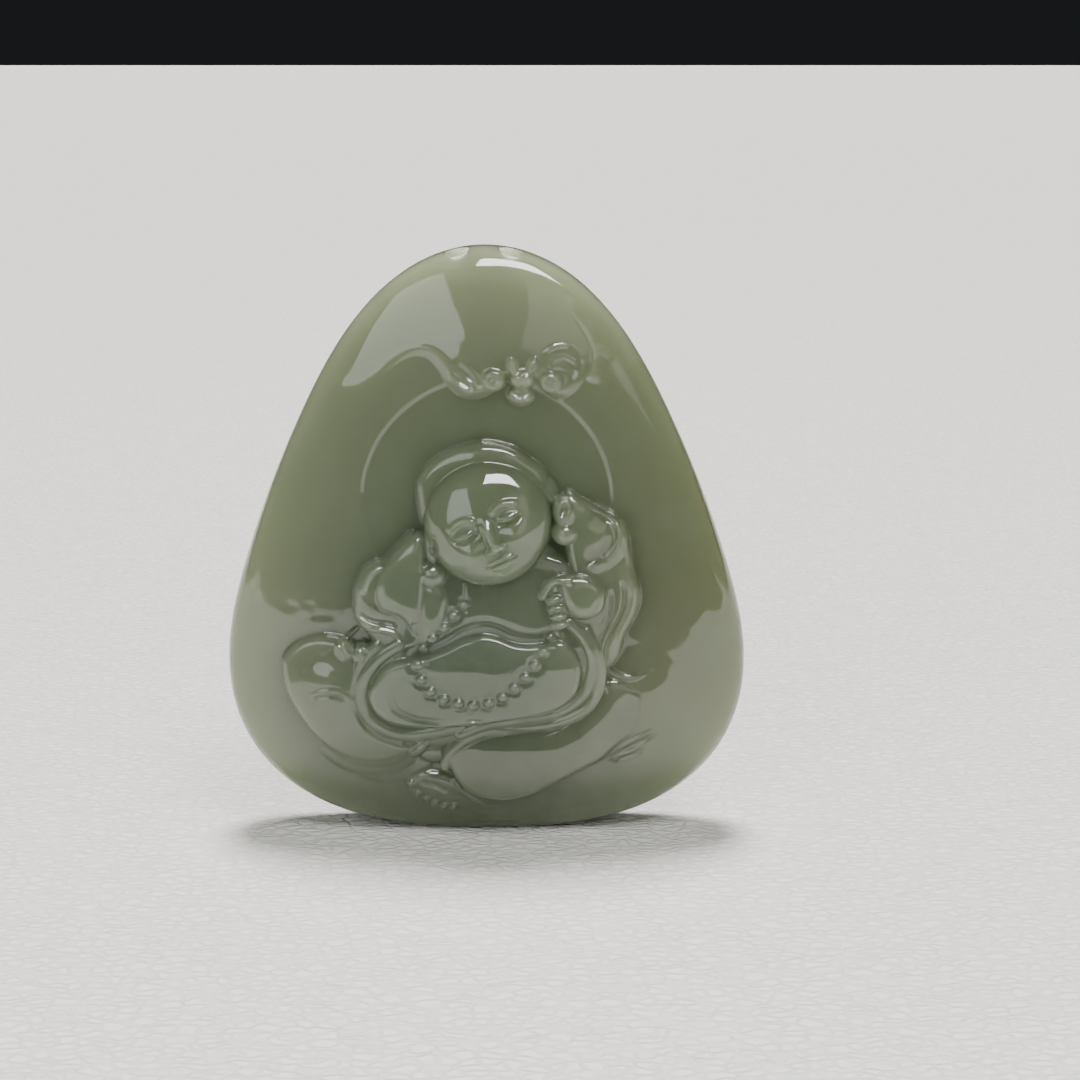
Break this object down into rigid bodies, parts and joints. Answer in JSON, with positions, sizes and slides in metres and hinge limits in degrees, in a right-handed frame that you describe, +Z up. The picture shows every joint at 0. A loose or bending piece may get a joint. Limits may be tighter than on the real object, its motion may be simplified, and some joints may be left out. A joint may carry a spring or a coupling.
{
  "type": "carved jade pendant",
  "caption": "Rounded triangular plaque of polished green stone, carved in relief with a seated monk, beads, a sack and a bat, with a cord hole in its top edge.",
  "frame": {"origin": "on the small flat at the bottom edge that the pendant stands on, under the middle of its outline", "axes": "+Z up towards the cord hole, the carved face towards -Y, +X to the viewer's right"},
  "size_m": [0.0434, 0.0116, 0.0493],
  "materials": {
    "jade": "polished greyish green nephrite, slightly translucent"
  },
  "bodies": {
    "root": {"bat_body": "jade", "bat_left_curl": "jade", "bat_left_wing": "jade", "bat_right_curl": "jade", "bat_right_wing": "jade", "bead_01": "jade", "bead_02": "jade", "bead_03": "jade", "bead_04": "jade", "bead_05": "jade", "bead_06": "jade", "bead_07": "jade", "bead_08": "jade", "bead_09": "jade", "bead_10": "jade", "bead_11": "jade", "bead_12": "jade", "bead_13": "jade", "bead_14": "jade", "bead_15": "jade", "bead_16": "jade", "bead_17": "jade", "bead_18": "jade", "belly": "jade", "cap": "jade", "chest": "jade", "collar": "jade", "drape_hem": "jade", "foot": "jade", "hand": "jade", "head": "jade", "knot": "jade", "left_breast": "jade", "left_ear": "jade", "left_knee": "jade", "left_robe_edge": "jade", "left_sleeve": "jade", "lower_ribbon": "jade", "plaque": "jade", "right_ear": "jade", "right_knee": "jade", "right_robe_edge": "jade", "right_sleeve": "jade", "sack": "jade", "sack_fold": "jade", "sack_neck": "jade", "upper_ribbon": "jade"}
  },
  "joints": []
}
